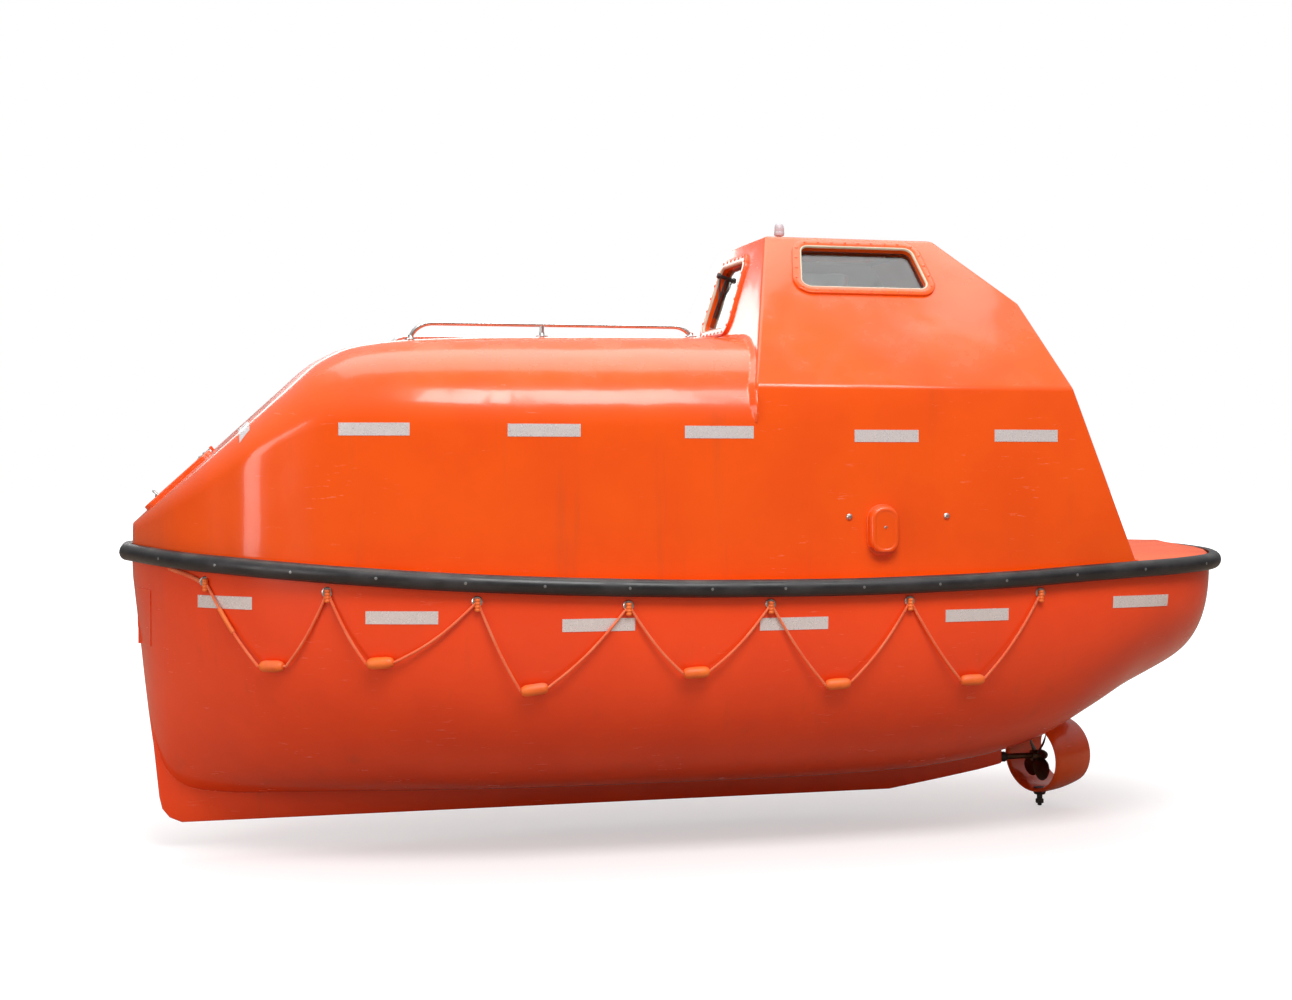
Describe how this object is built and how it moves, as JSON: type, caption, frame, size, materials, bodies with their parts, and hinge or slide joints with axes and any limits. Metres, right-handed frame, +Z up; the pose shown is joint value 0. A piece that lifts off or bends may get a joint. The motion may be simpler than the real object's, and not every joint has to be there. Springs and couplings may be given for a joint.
{
  "type": "enclosed lifeboat",
  "caption": "Enclosed lifeboat with a moulded hull, rounded canopy, glazed steering cab, hatches, lifting hooks, steering nozzle and propeller.",
  "frame": {"origin": "on the centreline, amidships, at the waterline, 0.50 m above the keel sole", "axes": "+X from the bow towards the stern, +Y to starboard, +Z up"},
  "size_m": [4.84, 2.234, 2.715],
  "materials": {
    "hull_gelcoat": "glossy red-orange gelcoat on fibreglass",
    "canopy_gelcoat": "glossy international orange gelcoat on fibreglass",
    "deck_gelcoat": "orange gelcoat with a fine non-slip texture",
    "black_rubber": "black rubber with a soft sheen",
    "tinted_glass": "grey tinted acrylic",
    "stainless_steel": "polished stainless steel tube and plate",
    "painted_hook": "red painted steel",
    "dark_iron": "dark painted iron",
    "dark_bronze": "dark cast bronze",
    "white_liner": "off-white moulded liner",
    "grey_seat": "grey vinyl seat cover",
    "orange_rope": "orange synthetic rope and foam floats",
    "lamp_housing": "pale plastic housing and lens"
  },
  "bodies": {
    "boat": {"hull": "hull_gelcoat", "canopy": "canopy_gelcoat", "cab": "canopy_gelcoat", "aft_deck": "deck_gelcoat", "fender": "black_rubber", "bow_coaming": "canopy_gelcoat", "side_coaming": "canopy_gelcoat", "aft_coaming": "canopy_gelcoat", "side_window_port": "tinted_glass", "side_window_port_frame": "canopy_gelcoat", "side_window_starboard": "tinted_glass", "side_window_starboard_frame": "canopy_gelcoat", "windscreen": "tinted_glass", "windscreen_frame": "canopy_gelcoat", "screen_wiper": "dark_iron", "vent_cowl_port": "canopy_gelcoat", "vent_cowl_starboard": "canopy_gelcoat", "handrail_port": "stainless_steel", "handrail_starboard": "stainless_steel", "roof_lamp": "lamp_housing", "engine_block": "dark_iron", "engine_casing": "white_liner", "helm_console": "white_liner", "helm_seat": "grey_seat", "stock_bearing": "dark_iron", "stern_tube": "dark_bronze", "fore_hook_base": "stainless_steel", "aft_hook_base": "stainless_steel", "grab_line_port": "orange_rope", "grab_line_starboard": "orange_rope"},
    "nozzle": {"steering_nozzle": "hull_gelcoat"},
    "screw": {"propeller": "dark_bronze"},
    "bow_lid": {"bow_hatch": "canopy_gelcoat"},
    "boarding_door": {"side_door": "canopy_gelcoat"},
    "recess_door": {"aft_door": "canopy_gelcoat"},
    "roof_lid": {"roof_hatch": "canopy_gelcoat"},
    "wheel": {"helm_wheel": "black_rubber"},
    "fore_release": {"fore_hook": "painted_hook"},
    "aft_release": {"aft_hook": "painted_hook"}
  },
  "joints": [
    {"name": "nozzle_steer", "type": "hinge", "parent": "boat", "child": "nozzle", "pos_m": [1.67, 0, -0.38], "axis": [0, 0, 1], "range_deg": [-57, 13]},
    {"name": "propeller_spin", "type": "hinge", "parent": "boat", "child": "screw", "pos_m": [1.655, 0, -0.38], "axis": [1, 0, 0], "continuous": true},
    {"name": "bow_hatch_open", "type": "hinge", "parent": "boat", "child": "bow_lid", "pos_m": [-2.13337, 0, 1.06931], "axis": [0, 1, 0], "range_deg": [0, 115]},
    {"name": "side_door_open", "type": "hinge", "parent": "boat", "child": "boarding_door", "pos_m": [-0.964, 0.98, 0.962], "axis": [0, 0, 1], "range_deg": [0, 150]},
    {"name": "aft_door_open", "type": "hinge", "parent": "boat", "child": "recess_door", "pos_m": [1.175, -0.289, 1.35], "axis": [0, 0, -1], "range_deg": [0, 86]},
    {"name": "roof_hatch_open", "type": "hinge", "parent": "boat", "child": "roof_lid", "pos_m": [0.914, 0, 2.004], "axis": [0, 1, 0], "range_deg": [0, 110]},
    {"name": "helm_wheel_turn", "type": "hinge", "parent": "boat", "child": "wheel", "pos_m": [0.375, 0, 1.02], "axis": [1, 0, 0], "range_deg": [-570, 130]},
    {"name": "fore_hook_release", "type": "hinge", "parent": "boat", "child": "fore_release", "pos_m": [-2.16, 0, 0.707], "axis": [0, 1, 0], "range_deg": [0, 70]},
    {"name": "aft_hook_release", "type": "hinge", "parent": "boat", "child": "aft_release", "pos_m": [1.4, 0, 0.695], "axis": [0, 1, 0], "range_deg": [0, 70]}
  ],
  "couplings": [
    {"joint": "helm_wheel_turn", "follows": "nozzle_steer", "ratio": 10}
  ]
}
